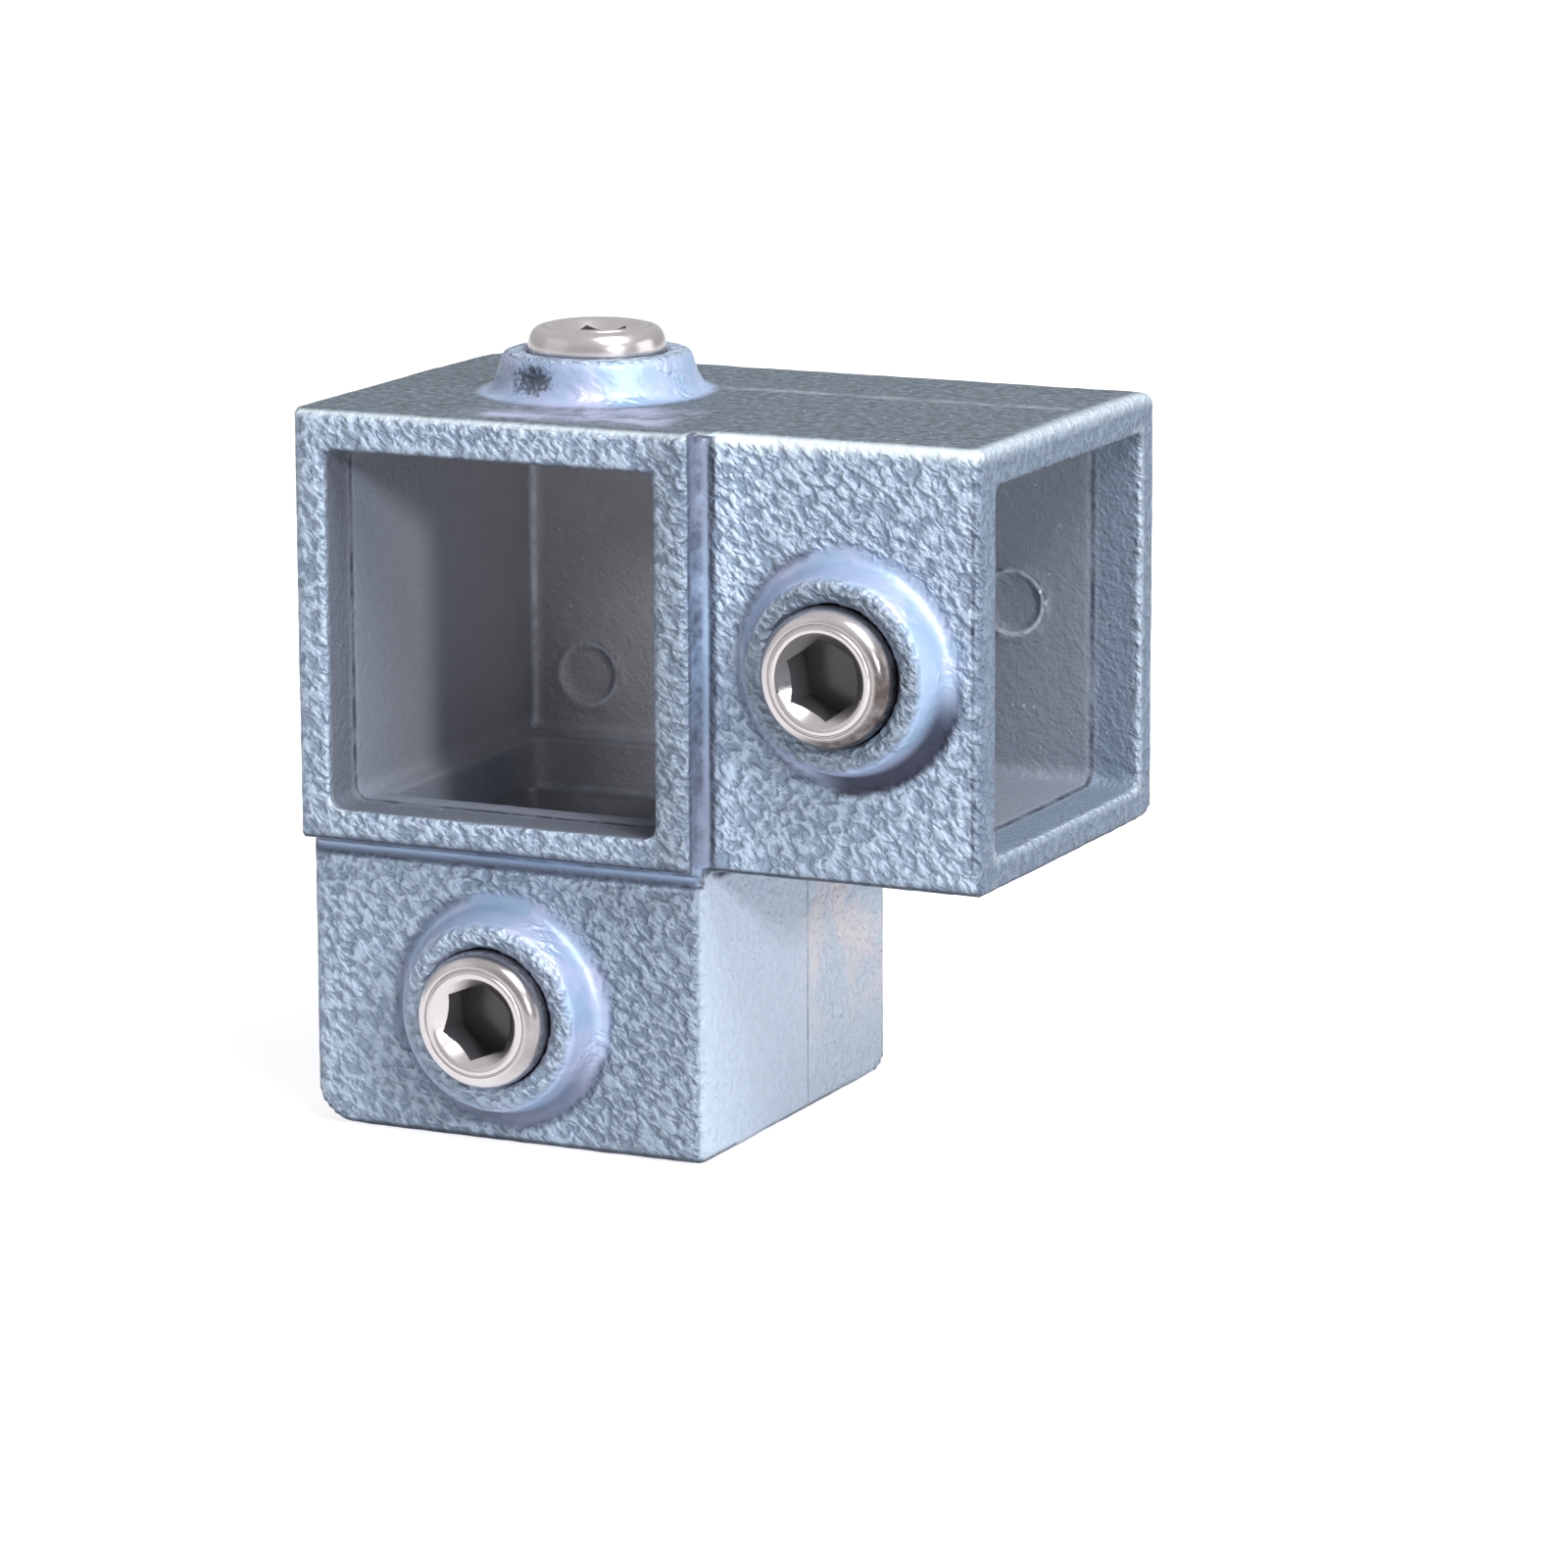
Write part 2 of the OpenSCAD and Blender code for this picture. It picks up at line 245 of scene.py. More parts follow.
def new_material(name):
    """An empty material and its node tree, with a Principled shader on its output."""
    material = bpy.data.materials.new(name)
    material.use_nodes = True
    tree = material.node_tree
    tree.nodes.clear()
    shader = add_node(tree, "ShaderNodeBsdfPrincipled")
    add_node(tree, "ShaderNodeOutputMaterial", {"Surface": shader.outputs["BSDF"]})
    return material, tree, shader


def ramp(low, high, values):
    """A smooth step from 0 at low to 1 at high, over an array."""
    t = np.clip((values - low) / (high - low), 0, 1)
    return t * t * (3 - 2 * t)


def noise_at(points, width, seed):
    """Smooth noise from -1 to 1 at points in millimetres, with lumps about this wide."""
    moved = points / width + seed
    return np.array([noise.noise(p) for p in moved.tolist()])


def screw_place(node, way):
    """The matrix that stands a screw made along +Z, with its end at the origin, where its solid is."""
    low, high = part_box(node)
    middle = (low + high) / 2
    if way == "up":
        return Matrix.Translation((middle.x, middle.y, high.z))
    return Matrix.Translation((middle.x, low.y, middle.z)) @ Matrix.Rotation(math.pi / 2, 4, "X")


def boss_reach(points):
    """For each boss: each point's distance from its axis and height above its foot in mm, and its turn in degrees."""
    found = []
    for node, _, way, _ in SCREWS:
        local = np.array(screw_place(node, way).inverted())
        at = points * MM @ local[:3, :3].T + local[:3, 3]
        foot = BOSS_HEIGHT + SCREW_PROUD
        turn = np.degrees(np.arctan2(at[:, 1], at[:, 0]))
        found.append((np.hypot(at[:, 0], at[:, 1]) / MM, at[:, 2] / MM + foot, turn))
    return found


def within(depth, across):
    """How far points lie inside a socket, from 0 on its rim to 1 past its lead-in edge."""
    return ramp(0.1, 1.4, depth) * (1 - ramp(20.95, 21.5, across))


def in_lead_in(depth):
    """How far points at a depth in a socket lie within its lead-in, which is 6 mm deep."""
    return 1 - ramp(5.4, 6.4, depth)


def casting_fields(points, normals):
    """Where the casting is crinkled, hollow, sharp or smooth, and where shade and highlights are painted, 0 to 1 at
    each point.
    """
    x, y, z = points.T
    nx, ny, nz = normals.T
    up = np.abs(z - SOCKET_Z)
    front = within(y - MOUTH_Y, np.maximum(np.abs(x), up)) * (y < BACK_WALL + 1)
    right = within(MOUTH_X - x, np.maximum(np.abs(y), up)) * (x > 18)
    lower = within(z, np.maximum(np.abs(x), np.abs(y))) * (z < 42)
    inner = np.maximum.reduce([front, right, lower])
    deep = np.maximum(front * ramp(6, 46, y - MOUTH_Y) * (x < 20.8), lower * ramp(24, 31, z) * ramp(8, 18, y))
    lead = np.maximum.reduce([
        front * in_lead_in(y - MOUTH_Y), right * in_lead_in(MOUTH_X - x), lower * in_lead_in(z),
    ])
    flank, annulus, hole = np.zeros((3, len(x)))
    # Painted shade on the lead-in of the front socket, and faintly on that of the right socket.
    shade = np.maximum(0.5 * front * (1 - ramp(5.2, 6.6, y - MOUTH_Y)),
                       0.1 * right * (1 - ramp(5.2, 6.6, MOUTH_X - x)))
    for (away, height, turn), (node, _, way, _) in zip(boss_reach(points), SCREWS):
        facing = nz if way == "up" else -ny
        near = (1 - ramp(13.3, 14.1, away)) * ramp(-1.2, -0.1, height)
        level = ramp(0.8, 0.96, facing) * ramp(3.9, 4.5, height) * (away < 12)
        flank = np.maximum(flank, near * (1 - level))
        annulus = np.maximum(annulus, level)
        # The wall of the hole round each screw, painted dark as painted shade.
        hole = np.maximum(hole, (away < SCREW_RADIUS + 0.4) * (height > -9) * (height < BOSS_HEIGHT - 0.9))
        # Painted shade at the foot of the right and lower bosses, darkest in a crescent and fainter on their lower and
        # upper left sides.
        if node in BOSS_SHADE:
            middle, depth = BOSS_SHADE[node]
            off = np.abs((turn - middle + 180) % 360 - 180)
            foot = (1 - ramp(13.9, 14.5, away)) * ramp(-1, -0.3, height)
            shade = np.maximum(shade, depth * foot * ramp(11.3, 12.2, away) * (1 - ramp(30, 62, off)))
            shade = np.maximum(shade, 0.55 * foot * ramp(12.6, 13.3, away) * ((turn < -20) | (turn > 110)))
    cove = np.maximum(
        (x > SIDE - 0.9) * (1 - ramp(26.3, 27.1, x)) * (z > ARM - 1.6) * (z < CROWN - 0.6),
        (z < ARM + 0.9) * ramp(ARM - 1.7, ARM - 0.9, z) * (x < SIDE + 1.6),
    ) * ramp(MOUTH_Y + 0.5, MOUTH_Y + 1.3, y) * (1 - ramp(-25.3, -25.05, y))
    straight = np.max(np.abs(normals), axis=1)
    plain = (1 - flank) * (1 - cove) * (1 - inner) * (1 - hole)
    edge = ramp(0.03, 0.2, 1 - straight) * plain
    # Painted shade on the rounded edges that face down and along the bottom front edge of the right arm.
    under = edge * ramp(0.12, 0.45, -nz)
    below = (1 - ramp(0.8, 1.9, z - 2 * SOCKET_Z + CROWN)) * (y < -23) * (x > SIDE + 2) * (z > ARM - 3)
    under = np.maximum(under, below * plain)
    # Painted highlights: pale bands along the top front edge of the right arm, the top edge at the right mouth and the
    # top of the front mouth.
    crest = 1 - ramp(1.0, 2.1, CROWN - z)
    pale = np.maximum.reduce([
        crest * (1 - ramp(0.2, 1.5, y + SIDE)) * (x > SIDE + 1),
        0.5 * crest * (1 - ramp(0.3, 1.3, MOUTH_X - x)),
        (1 - ramp(0.5, 1.3, CROWN - z)) * (1 - ramp(0.2, 1.3, y - MOUTH_Y)),
    ]) * plain
    # A faint painted highlight along the inner edge of the right mouth, at its lower bar and at its back.
    across = np.maximum(np.abs(y), up)
    bright = ramp(20.3, 20.8, across) * (1 - ramp(21.4, 21.9, across)) * (1 - ramp(0.4, 1.3, MOUTH_X - x))
    pale = np.maximum(pale, 0.2 * bright * np.maximum(z < SOCKET_Z - 18, y > 18))
    crown = ramp(0.6, 0.9, nz) * (z > 80) * (1 - flank) * (1 - annulus)
    side = ramp(0.6, 0.9, nx) * (z < ARM) * (x > 24)
    blush = side * ramp(-2, 6, y) * ramp(4, 16, z)
    rosy = ramp(-8, -1, x) * (1 - ramp(17, 22, x)) * (1 - ramp(-16, -9, y)) * ramp(MOUTH_Y + 2, MOUTH_Y + 5, y)
    rosy = rosy * (z > 83.5) * (1 - ramp(86.0, 87.6, z)) * (nz > -0.2)
    spots = ramp(0.1, 0.6, noise_at(points, width=4.0, seed=23.4))
    grain = (1 - flank * (0.93 - 0.35 * spots)) * (1 - 0.9 * cove)
    grain = grain * (1 - 0.75 * inner * (1 - 0.25 * lead)) * (1 - 0.45 * crown)
    grain = grain * (1 - side * (0.72 - 0.35 * ramp(0, 8, y))) * (1 - hole) * (1 - 0.75 * pale)
    # The zinc is darker on the right bar of the front mouth and beside the lower boss, and painted lighter beside the
    # cove, as painted light against the shade that falls there.
    facing = ramp(0.5, 0.8, -ny) * plain
    tone = 1 - facing * (0.33 * (y < MOUTH_Y + 1.5) * ramp(19, 21.5, x) + 0.24 * (z < ARM - 2) * ramp(4, 14, x)
                         - 0.28 * (y > -26.5) * (z > ARM) * ramp(26.5, 27.5, x) * (1 - ramp(30, 36, x)))
    return {
        "grain": grain, "inner": inner, "deep": deep, "under": under,
        # Edges that face up get a painted highlight, and so do the pale bands.
        "edge": np.maximum(0.45 * edge * (1 - under) * ramp(0.0, 0.5, nz), pale), "flank": flank * (1 - hole),
        "cove": cove, "crown": crown, "blush": blush, "side": side, "rosy": rosy, "tone": tone,
        "lead": right * in_lead_in(MOUTH_X - x),
        # A painted highlight down the middle of the cove beside the front mouth and along the cove below it.
        "shine": cove * np.maximum(np.exp(-((z - 60) / 11.0) ** 2) * (z > ARM + 2), 0.8 * (z < ARM + 1)),
        "hole": hole, "shade": shade, "rim": (1 - ramp(0.3, 1.3, MOUTH_X - x)) * (1 - inner) * ramp(0.3, 0.7, nx),
    }


def even_skin(node, step):
    """A closed skin of even faces on the solid's surface, and nothing else of it."""
    shell = bmesh.new()
    shell.from_mesh(node.data)
    bmesh.ops.remove_doubles(shell, verts=shell.verts, dist=0.0005 * MM)
    solid_mesh = bpy.data.meshes.new("casting_solid")
    shell.to_mesh(solid_mesh)
    shell.free()
    solid = bpy.data.objects.new("casting_solid", solid_mesh)
    skin = bpy.data.objects.new("galvanised_casting", solid_mesh.copy())
    for made in (solid, skin):
        bpy.context.scene.collection.objects.link(made)
    even = skin.modifiers.new("even_faces", "REMESH")
    even.mode = "VOXEL"
    even.voxel_size = step
    onto = skin.modifiers.new("onto_solid", "SHRINKWRAP")
    onto.target = solid
    onto.wrap_method = "NEAREST_SURFACEPOINT"
    made = bpy.data.meshes.new_from_object(skin.evaluated_get(bpy.context.evaluated_depsgraph_get()))
    skin.modifiers.clear()
    skin.data = made
    bpy.data.objects.remove(solid)
    return skin


def cast_surface(skin, look):
    """Gives the skin the uneven walls of a casting that was dipped in zinc, and keeps where each look belongs."""
    mesh = skin.data
    count = len(mesh.vertices)
    points = np.empty(count * 3)
    mesh.vertices.foreach_get("co", points)
    points = points.reshape(-1, 3) / MM
    normals = np.empty(count * 3)
    mesh.vertices.foreach_get("normal", normals)
    normals = normals.reshape(-1, 3)
    fields = casting_fields(points, normals)
    swell = 0.5 + 0.5 * noise_at(points, width=7.0, seed=3.1)
    lump = 0.5 + 0.5 * noise_at(points, width=1.9, seed=11.7)
    calm = 1 - fields["hole"]
    push = -(look.swell_depth * swell + look.lump_depth * lump * (0.35 + 0.65 * fields["grain"])) / MM * calm
    pit = np.linalg.norm((points - PIT_HOLLOW) / (2.6, 1.8, 1.6), axis=1)
    push = push - 0.8 * np.exp(-pit ** 2 * 1.4) * fields["flank"]
    fin = np.exp(-((points - FIN) ** 2 / (2.0, 0.35, 0.8)).sum(1))
    push = push + 0.75 * fin * fields["flank"]
    moved = points + normals * push[:, None]
    for (away, height, _), (node, _, way, _) in zip(boss_reach(points), SCREWS):
        wall = (away < SCREW_RADIUS + 0.5) * (height > -8.5) * (height < BOSS_HEIGHT - 0.4)
        brim = (away > SCREW_RADIUS - 0.1) * (away < SCREW_RADIUS + 1.0)
        brim = brim * (height > BOSS_HEIGHT - 0.9) * (height < BOSS_HEIGHT + 0.1)
        near = SCREW_RADIUS + look.hole_room / MM
        grow = np.where(wall, near / np.maximum(away, 1), 1.0)
        grow = np.where(brim, (near + 0.6 * np.maximum(away - SCREW_RADIUS - 0.05, 0)) / np.maximum(away, 1), grow)
        rise = np.where(brim, 0.75 * np.maximum(BOSS_HEIGHT - 0.12 - height, 0), 0.0)
        place = np.array(screw_place(node, way))
        axis, centre = place[:3, 2], place[:3, 3] / MM
        off = moved - centre
        along = np.outer(off @ axis + rise, axis)
        off = off - np.outer(off @ axis, axis)
        moved = centre + along + off * grow[:, None]
    low, high = (np.array(c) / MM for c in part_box("corner_casting"))
    moved = np.clip(moved, low, high)
    mesh.vertices.foreach_set("co", (moved * MM).astype(np.float32).ravel())
    for name, values in fields.items():
        mesh.attributes.new(name, "FLOAT", "POINT").data.foreach_set("value", values.astype(np.float32))
    mesh.shade_smooth()
    mesh.update()


def layered(tree, base, layers):
    """A base colour with layers over it, each with where it shows, how strongly and its colour."""
    for where, most, tint in layers:
        part = add_node(tree, "ShaderNodeMath", {0: where, 1: most}, operation="MULTIPLY").outputs[0]
        base = add_node(tree, "ShaderNodeMix", {0: part, 6: base, 7: (*tint, 1)}, data_type="RGBA").outputs[2]
    return base


def drawn_line(tree, at, broken, axis, place, half, most, bounds):
    """How much of a fine broken line shows, as the lists of lines above have it."""
    line = add_node(tree, "ShaderNodeMath", {0: at.outputs[axis], 1: place * MM}, operation="SUBTRACT").outputs[0]
    line = add_node(tree, "ShaderNodeMath", {0: line}, operation="ABSOLUTE").outputs[0]
    line = add_node(tree, "ShaderNodeMapRange", {
        "Value": line, "From Min": 0.5 * half * MM, "From Max": 1.8 * half * MM, "To Min": most, "To Max": 0.0,
    }).outputs["Result"]
    line = add_node(tree, "ShaderNodeMath", {0: line, 1: broken}, operation="MULTIPLY").outputs[0]
    for other, (low, high) in bounds.items():
        for end, test in ((low, "GREATER_THAN"), (high, "LESS_THAN")):
            inside = add_node(tree, "ShaderNodeMath", {0: at.outputs[other], 1: end * MM}, operation=test).outputs[0]
            line = add_node(tree, "ShaderNodeMath", {0: line, 1: inside}, operation="MULTIPLY").outputs[0]
    return line


def core_mark_rim(tree, coords, across, up):
    """How much of the painted highlight on the rim of a round core mark shows, brightest on its right."""
    flat = add_node(tree, "ShaderNodeVectorMath", {
        0: coords, 1: (across * MM, 0, up * MM)}, operation="SUBTRACT").outputs["Vector"]
    flat = add_node(tree, "ShaderNodeVectorMath", {0: flat, 1: (1, 0, 1)}, operation="MULTIPLY").outputs["Vector"]
    away = add_node(tree, "ShaderNodeVectorMath", {0: flat}, operation="LENGTH").outputs["Value"]
    away = add_node(tree, "ShaderNodeMath", {0: away, 1: 3.75 * MM}, operation="SUBTRACT").outputs[0]
    away = add_node(tree, "ShaderNodeMath", {0: away}, operation="ABSOLUTE").outputs[0]
    ring = add_node(tree, "ShaderNodeMapRange", {
        "Value": away, "From Min": 0.12 * MM, "From Max": 0.4 * MM, "To Min": 1.0, "To Max": 0.0,
    }).outputs["Result"]
    turned = add_node(tree, "ShaderNodeSeparateXYZ", {"Vector": flat}).outputs["X"]
    turned = add_node(tree, "ShaderNodeMapRange", {
        "Value": turned, "From Min": -1.0 * MM, "From Max": 3.0 * MM, "To Min": 0.3, "To Max": 1.0,
    }).outputs["Result"]
    return add_node(tree, "ShaderNodeMath", {0: ring, 1: turned}, operation="MULTIPLY").outputs[0]


def ragged_pit(tree, coords, grit):
    """How dark the pit in the flank of the top boss is, about 5 mm wide with a ragged edge."""
    pit = add_node(tree, "ShaderNodeVectorMath", {
        0: coords, 1: tuple(c * MM for c in PIT_DARK)}, operation="SUBTRACT").outputs["Vector"]
    pit = add_node(tree, "ShaderNodeVectorMath", {
        0: pit, 1: (1 / (3.3 * MM), 1 / (2.6 * MM), 1 / (1.9 * MM))}, operation="MULTIPLY").outputs["Vector"]
    pit = add_node(tree, "ShaderNodeVectorMath", {0: pit}, operation="LENGTH").outputs["Value"]
    ragged = add_node(tree, "ShaderNodeMapRange", {"Value": grit, "To Min": -0.9, "To Max": 0.9}).outputs["Result"]
    pit = add_node(tree, "ShaderNodeMath", {0: pit, 1: ragged}, operation="ADD").outputs[0]
    return add_node(tree, "ShaderNodeMapRange", {
        "Value": pit, "From Min": 0.55, "From Max": 1.05, "To Min": 0.85, "To Max": 0.0}).outputs["Result"]


def galvanised_iron(look):
    """Malleable iron, hot-dip galvanised: bluish zinc, crinkled on the cast faces and glazed on the bosses."""
    material, tree, shader = new_material("hot_dip_galvanised_iron")
    coords = add_node(tree, "ShaderNodeTexCoord").outputs["Object"]
    at = add_node(tree, "ShaderNodeSeparateXYZ", {"Vector": coords})
    field = {name: add_node(tree, "ShaderNodeAttribute", attribute_name=name).outputs["Fac"] for name in FIELDS}
    # The ridges run from upper left to lower right, so the pattern is turned and drawn out along them.
    along = add_node(tree, "ShaderNodeMapping", {
        "Vector": coords, "Rotation": (0, math.radians(31), math.radians(24)), "Scale": (1.6, 1, 1),
    }, vector_type="TEXTURE").outputs["Vector"]
    worm = add_node(tree, "ShaderNodeTexNoise", {
        "Vector": along, "Scale": 1 / look.crinkle_width, "Detail": 1.8, "Roughness": 0.5, "Distortion": 0.25,
    }).outputs["Fac"]
    ridge = add_node(tree, "ShaderNodeMapRange", {
        "Value": worm, "From Min": 0.28, "From Max": 0.72,
    }, interpolation_type="SMOOTHSTEP").outputs["Result"]
    # Fine grit of the sand mould under the zinc, about 0.5 mm wide, that shows most inside and on top.
    grit = add_node(tree, "ShaderNodeTexNoise", {
        "Vector": coords, "Scale": 1 / (0.5 * MM), "Detail": 2.0, "Roughness": 0.6,
    }).outputs["Fac"]
    dull_on = add_node(tree, "ShaderNodeMath", {0: field["inner"], 1: field["crown"]}, operation="MAXIMUM").outputs[0]
    fine = add_node(tree, "ShaderNodeMapRange", {"Value": dull_on, "To Min": 0.15, "To Max": 0.7}).outputs["Result"]
    relief = add_node(tree, "ShaderNodeMix", {0: fine, 2: ridge, 3: grit}).outputs[0]
    # Patches of zinc a few millimetres wide that run thicker and paler.
    patch = add_node(tree, "ShaderNodeTexNoise", {
        "Vector": coords, "Scale": 1 / (6.5 * MM), "Detail": 3.0, "Roughness": 0.55, "Distortion": 0.5,
    }).outputs["Fac"]
    patch_on = add_node(tree, "ShaderNodeMapRange", {
        "Value": patch, "From Min": 0.36, "From Max": 0.66,
    }, interpolation_type="SMOOTHSTEP").outputs["Result"]
    # Grey blotches on top, about a millimetre wide.
    blotch = add_node(tree, "ShaderNodeTexNoise", {
        "Vector": coords, "Scale": 1 / (1.1 * MM), "Detail": 3.0, "Roughness": 0.6,
    }).outputs["Fac"]
    crown_on = add_node(tree, "ShaderNodeMapRange", {
        "Value": blotch, "From Min": 0.38, "From Max": 0.64, "To Min": 0.92, "To Max": 0.62}).outputs["Result"]
    crown_on = add_node(tree, "ShaderNodeMath", {0: crown_on, 1: field["crown"]}, operation="MULTIPLY").outputs[0]

    # Between the ridges the zinc is darker, partly as painted shade in the crevices.
    share = add_node(tree, "ShaderNodeMapRange", {
        "Value": relief, "From Min": 0.1, "From Max": 0.8,
    }, interpolation_type="SMOOTHSTEP").outputs["Result"]
    zinc = add_node(tree, "ShaderNodeMix", {0: share, 6: (*look.valley, 1), 7: (*look.crest, 1)}, data_type="RGBA")
    zinc = layered(tree, zinc.outputs[2], ((patch_on, 0.25, look.crest),))
    lilac_on = add_node(tree, "ShaderNodeMath", {0: patch_on, 1: 0.35}, operation="MULTIPLY").outputs[0]
    glaze = add_node(tree, "ShaderNodeMix", {0: lilac_on, 6: (*look.smooth, 1), 7: (*look.lilac, 1)},
                     data_type="RGBA").outputs[2]
    zinc = add_node(tree, "ShaderNodeMix", {0: field["flank"], 6: zinc, 7: glaze}, data_type="RGBA").outputs[2]
    blush_on = add_node(tree, "ShaderNodeMath", {0: field["blush"], 1: patch_on}, operation="MULTIPLY").outputs[0]
    rosy_on = add_node(tree, "ShaderNodeMapRange", {"Value": patch_on, "To Min": 0.1, "To Max": 0.7}).outputs["Result"]
    rosy_on = add_node(tree, "ShaderNodeMath", {0: rosy_on, 1: field["rosy"]}, operation="MULTIPLY").outputs[0]
    zinc = layered(tree, zinc, (
        # The shine is a painted highlight in the coves, and the side is painted paler, partly as painted light.
        (field["cove"], 1.0, look.cove), (field["shine"], 1.0, look.smooth), (field["side"], 0.85, look.side),
        # The crown is painted darker, a painted dark reflection on top.
        (field["rim"], 0.75, look.rim), (blush_on, 0.6, look.blush), (crown_on, 1.0, look.crown),
        # The edge layer is a painted highlight, and the socket layer is darker partly as painted shade.
        (rosy_on, 1.0, look.rosy), (field["edge"], 0.95, look.edge), (field["inner"], 0.9, look.socket),
        (field["lead"], 0.6, look.lead), (field["deep"], 0.7, look.deep),
    ))
    zinc = add_node(tree, "ShaderNodeMix", {0: 1.0, 6: zinc, 7: field["tone"]}, data_type="RGBA",
                    blend_type="MULTIPLY").outputs[2]

    # Along the foot of a cove its field falls from 1 to 0, and painted shade lies in that line.
    foot = add_node(tree, "ShaderNodeMath", {0: 1.0, 1: field["cove"]}, operation="SUBTRACT").outputs[0]
    foot = add_node(tree, "ShaderNodeMath", {0: foot, 1: field["cove"]}, operation="MULTIPLY").outputs[0]
    foot = add_node(tree, "ShaderNodeMath", {0: foot, 1: 3.0}, operation="MULTIPLY").outputs[0]
    # Painted shade under the edges that face down, at the foot of the bosses, on the lead-ins and at the feet of
    # coves.
    painted_shade_and_marks = add_node(tree, "ShaderNodeMath", {0: field["under"], 1: field["shade"]}, operation="MAXIMUM").outputs[0]
    painted_shade_and_marks = add_node(tree, "ShaderNodeMath", {0: painted_shade_and_marks, 1: foot}, operation="MAXIMUM").outputs[0]
    # Where a fine line fades out, every few millimetres.
    broken = add_node(tree, "ShaderNodeTexNoise", {
        "Vector": coords, "Scale": 1 / (4.0 * MM), "Detail": 4.0, "Roughness": 0.65,
    }).outputs["Fac"]
    broken = add_node(tree, "ShaderNodeMapRange", {
        "Value": broken, "From Min": 0.36, "From Max": 0.62, "To Min": 0.2, "To Max": 0.9,
    }).outputs["Result"]
    # Most of the fine dark lines are painted shade in creases and steps.
    for line in DARK_LINES:
        line = drawn_line(tree, at, broken, *line)
        painted_shade_and_marks = add_node(tree, "ShaderNodeMath", {0: painted_shade_and_marks, 1: line}, operation="MAXIMUM").outputs[0]
    painted_shade_and_marks = add_node(tree, "ShaderNodeMath", {0: painted_shade_and_marks, 1: 0.95}, operation="MULTIPLY").outputs[0]
    # Painted highlights along edges, on the parting seam on top and on the rims of the core marks.
    painted_highlight = 0.0
    for line in HIGHLIGHT_LINES:
        line = drawn_line(tree, at, broken, *line)
        painted_highlight = add_node(tree, "ShaderNodeMath", {0: painted_highlight, 1: line}, operation="MAXIMUM").outputs[0]
    back = add_node(tree, "ShaderNodeMath", {0: at.outputs["Y"], 1: 19.5 * MM}, operation="GREATER_THAN").outputs[0]
    back = add_node(tree, "ShaderNodeMath", {0: back, 1: field["inner"]}, operation="MULTIPLY").outputs[0]
    for across, up in CORE_MARKS:
        ring = core_mark_rim(tree, coords, across, up)
        ring = add_node(tree, "ShaderNodeMath", {0: ring, 1: back}, operation="MULTIPLY").outputs[0]
        painted_highlight = add_node(tree, "ShaderNodeMath", {0: painted_highlight, 1: ring}, operation="MAXIMUM").outputs[0]
    # Specks of dross and bright zinc, up to 0.4 mm wide and a few millimetres apart.
    cell = add_node(tree, "ShaderNodeTexVoronoi", {"Vector": coords, "Scale": 1 / (1.5 * MM), "Randomness": 1.0})
    dot = add_node(tree, "ShaderNodeMapRange", {
        "Value": cell.outputs["Distance"], "From Min": 0.06, "From Max": 0.15, "To Min": 1.0, "To Max": 0.0,
    }).outputs["Result"]
    pick = add_node(tree, "ShaderNodeSeparateColor", {"Color": cell.outputs["Color"]}).outputs[0]
    specks = []
    for level, test, where in ((0.72, "GREATER_THAN", dull_on), (0.3, "LESS_THAN", field["grain"])):
        speck = add_node(tree, "ShaderNodeMath", {0: pick, 1: level}, operation=test).outputs[0]
        speck = add_node(tree, "ShaderNodeMath", {0: dot, 1: speck}, operation="MULTIPLY").outputs[0]
        specks.append(add_node(tree, "ShaderNodeMath", {0: speck, 1: where}, operation="MULTIPLY").outputs[0])
    # The gap around each screw is painted dark as painted shade, and the pit is darkened.
    pit = ragged_pit(tree, coords, grit)
    pit = add_node(tree, "ShaderNodeMath", {0: pit, 1: field["flank"]}, operation="MULTIPLY").outputs[0]
    dark_on = add_node(tree, "ShaderNodeMath", {0: field["hole"], 1: pit}, operation="MAXIMUM").outputs[0]
    zinc = layered(tree, zinc, (
        (painted_shade_and_marks, 1.0, look.painted_shade_and_marks), (painted_highlight, 0.85, look.edge), (specks[0], 0.5, look.edge), (specks[1], 0.5, look.painted_shade_and_marks),
        (dark_on, 1.0, look.hole),
    ))

    height = add_node(tree, "ShaderNodeMath", {0: relief, 1: field["grain"]}, operation="MULTIPLY")
    bump = add_node(tree, "ShaderNodeBump", {
        "Strength": 1.0, "Distance": look.crinkle_depth, "Height": height.outputs[0],
    })
    smooth_on = add_node(tree, "ShaderNodeMath", {0: field["flank"], 1: field["cove"]}, operation="MAXIMUM").outputs[0]
    rough = add_node(tree, "ShaderNodeMapRange", {"Value": smooth_on, "To Min": 0.58, "To Max": 0.45})
    rough = add_node(tree, "ShaderNodeMix", {0: painted_shade_and_marks, 2: rough.outputs["Result"], 3: 0.75})
    metal = add_node(tree, "ShaderNodeMapRange", {"Value": smooth_on, "To Min": 0.28, "To Max": 0.34})
    metal = add_node(tree, "ShaderNodeMix", {0: field["inner"], 2: metal.outputs["Result"], 3: 0.25})
    metal = add_node(tree, "ShaderNodeMix", {0: painted_shade_and_marks, 2: metal.outputs[0], 3: 0.2})
    for name, value in (("Base Color", zinc), ("Roughness", rough.outputs[0]),
                        ("Metallic", metal.outputs[0]), ("Normal", bump.outputs["Normal"])):
        tree.links.new(value, shader.inputs[name])
    return material


